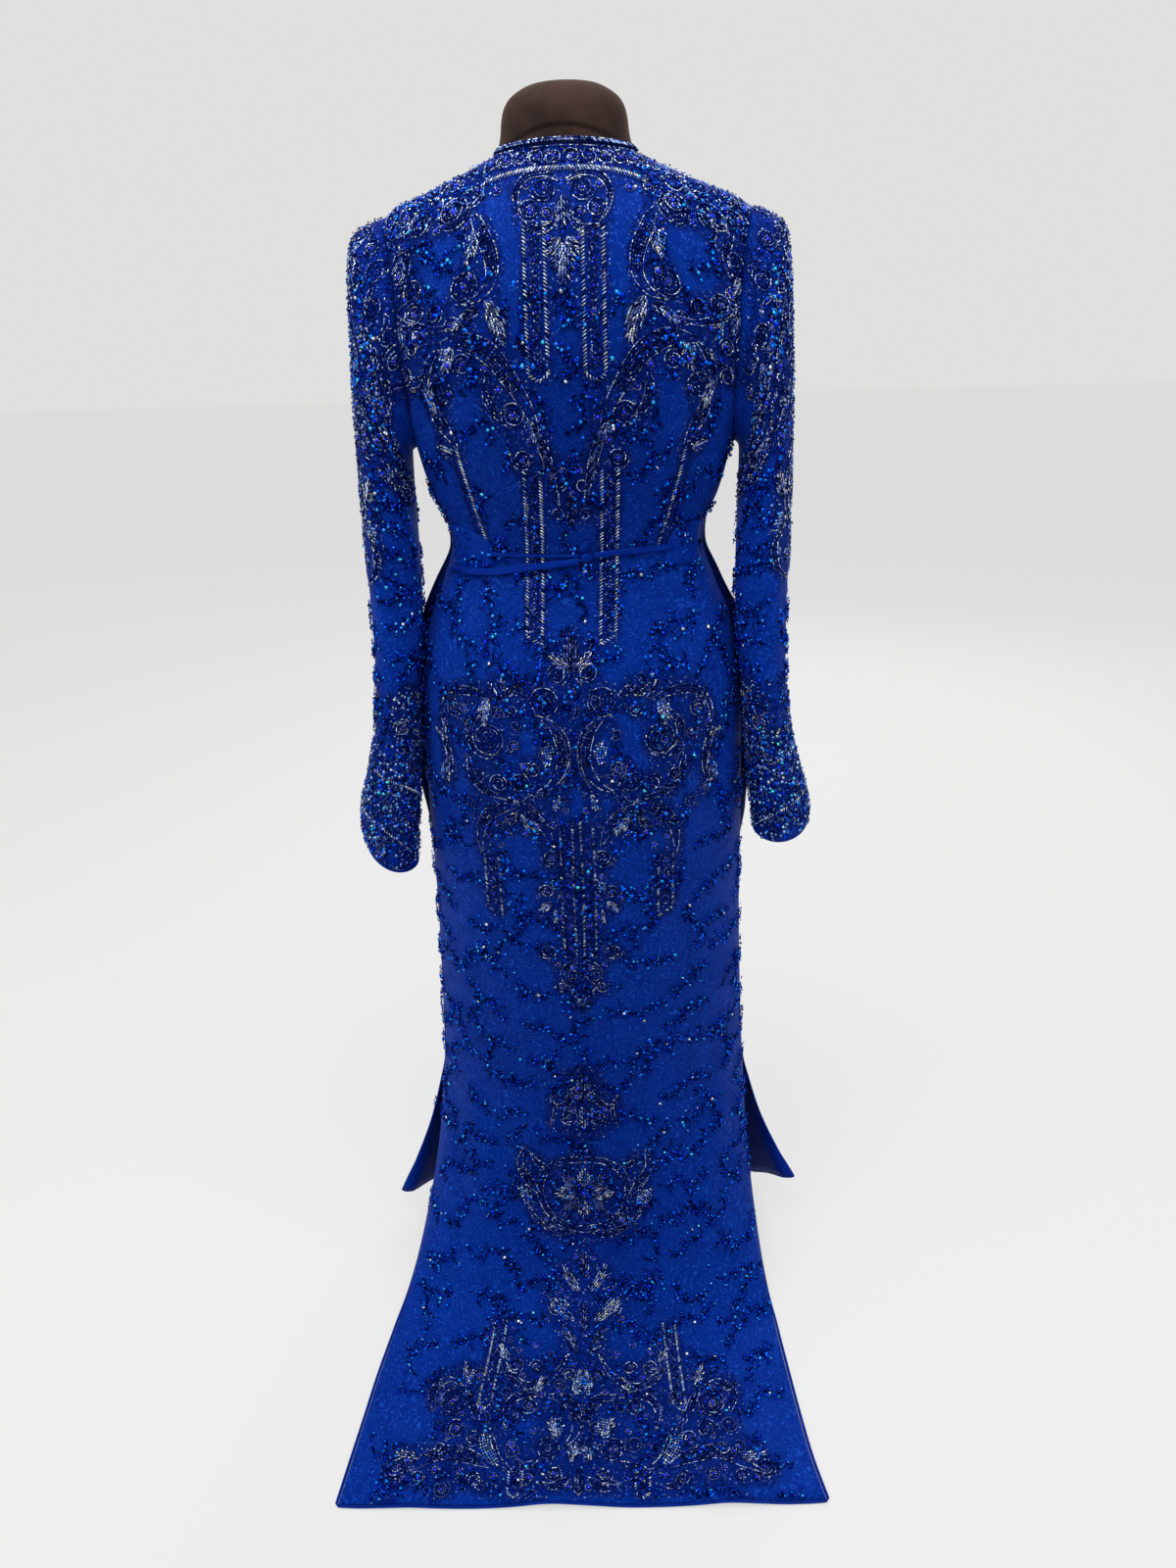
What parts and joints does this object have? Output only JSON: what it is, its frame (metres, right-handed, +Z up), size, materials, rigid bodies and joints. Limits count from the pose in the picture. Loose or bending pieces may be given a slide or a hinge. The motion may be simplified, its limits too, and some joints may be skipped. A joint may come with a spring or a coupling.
{
  "type": "beaded caftan gown with a train, on a limbless dress form",
  "caption": "Floor-length beaded lace caftan with long sleeves, belt ties, side slits and a back train, worn by a limbless dress form on a stand.",
  "frame": {"origin": "middle of the stand base's flat underside, on the floor", "axes": "+Z up; the wearer's front faces -Y, their left is +X, and the train runs out along +Y"},
  "size_m": [0.6021, 0.6309, 1.5016],
  "materials": {
    "beaded_lace": "royal blue lace over a plain backing, covered in beads, bugles and sequins",
    "royal_satin": "smooth royal blue satin, soft sheen",
    "belt_lace": "royal blue lace over satin, no beads",
    "brown_cover": "dark brown suede-like stretch cover, matt",
    "stand_metal": "black painted steel, satin"
  },
  "bodies": {
    "root": {"back_panel": "beaded_lace", "belt": "belt_lace", "cuff_binding_left": "royal_satin", "cuff_binding_right": "royal_satin", "form_neck": "brown_cover", "form_torso": "brown_cover", "front_lining": "royal_satin", "front_panel": "beaded_lace", "neck_binding": "royal_satin", "sleeve_left": "beaded_lace", "sleeve_right": "beaded_lace", "stand_base": "stand_metal", "stand_pole": "stand_metal", "tie_end": "royal_satin", "tie_knot": "royal_satin", "tie_left": "royal_satin", "tie_right": "royal_satin", "tie_tail": "royal_satin", "train_binding": "royal_satin"}
  },
  "joints": []
}
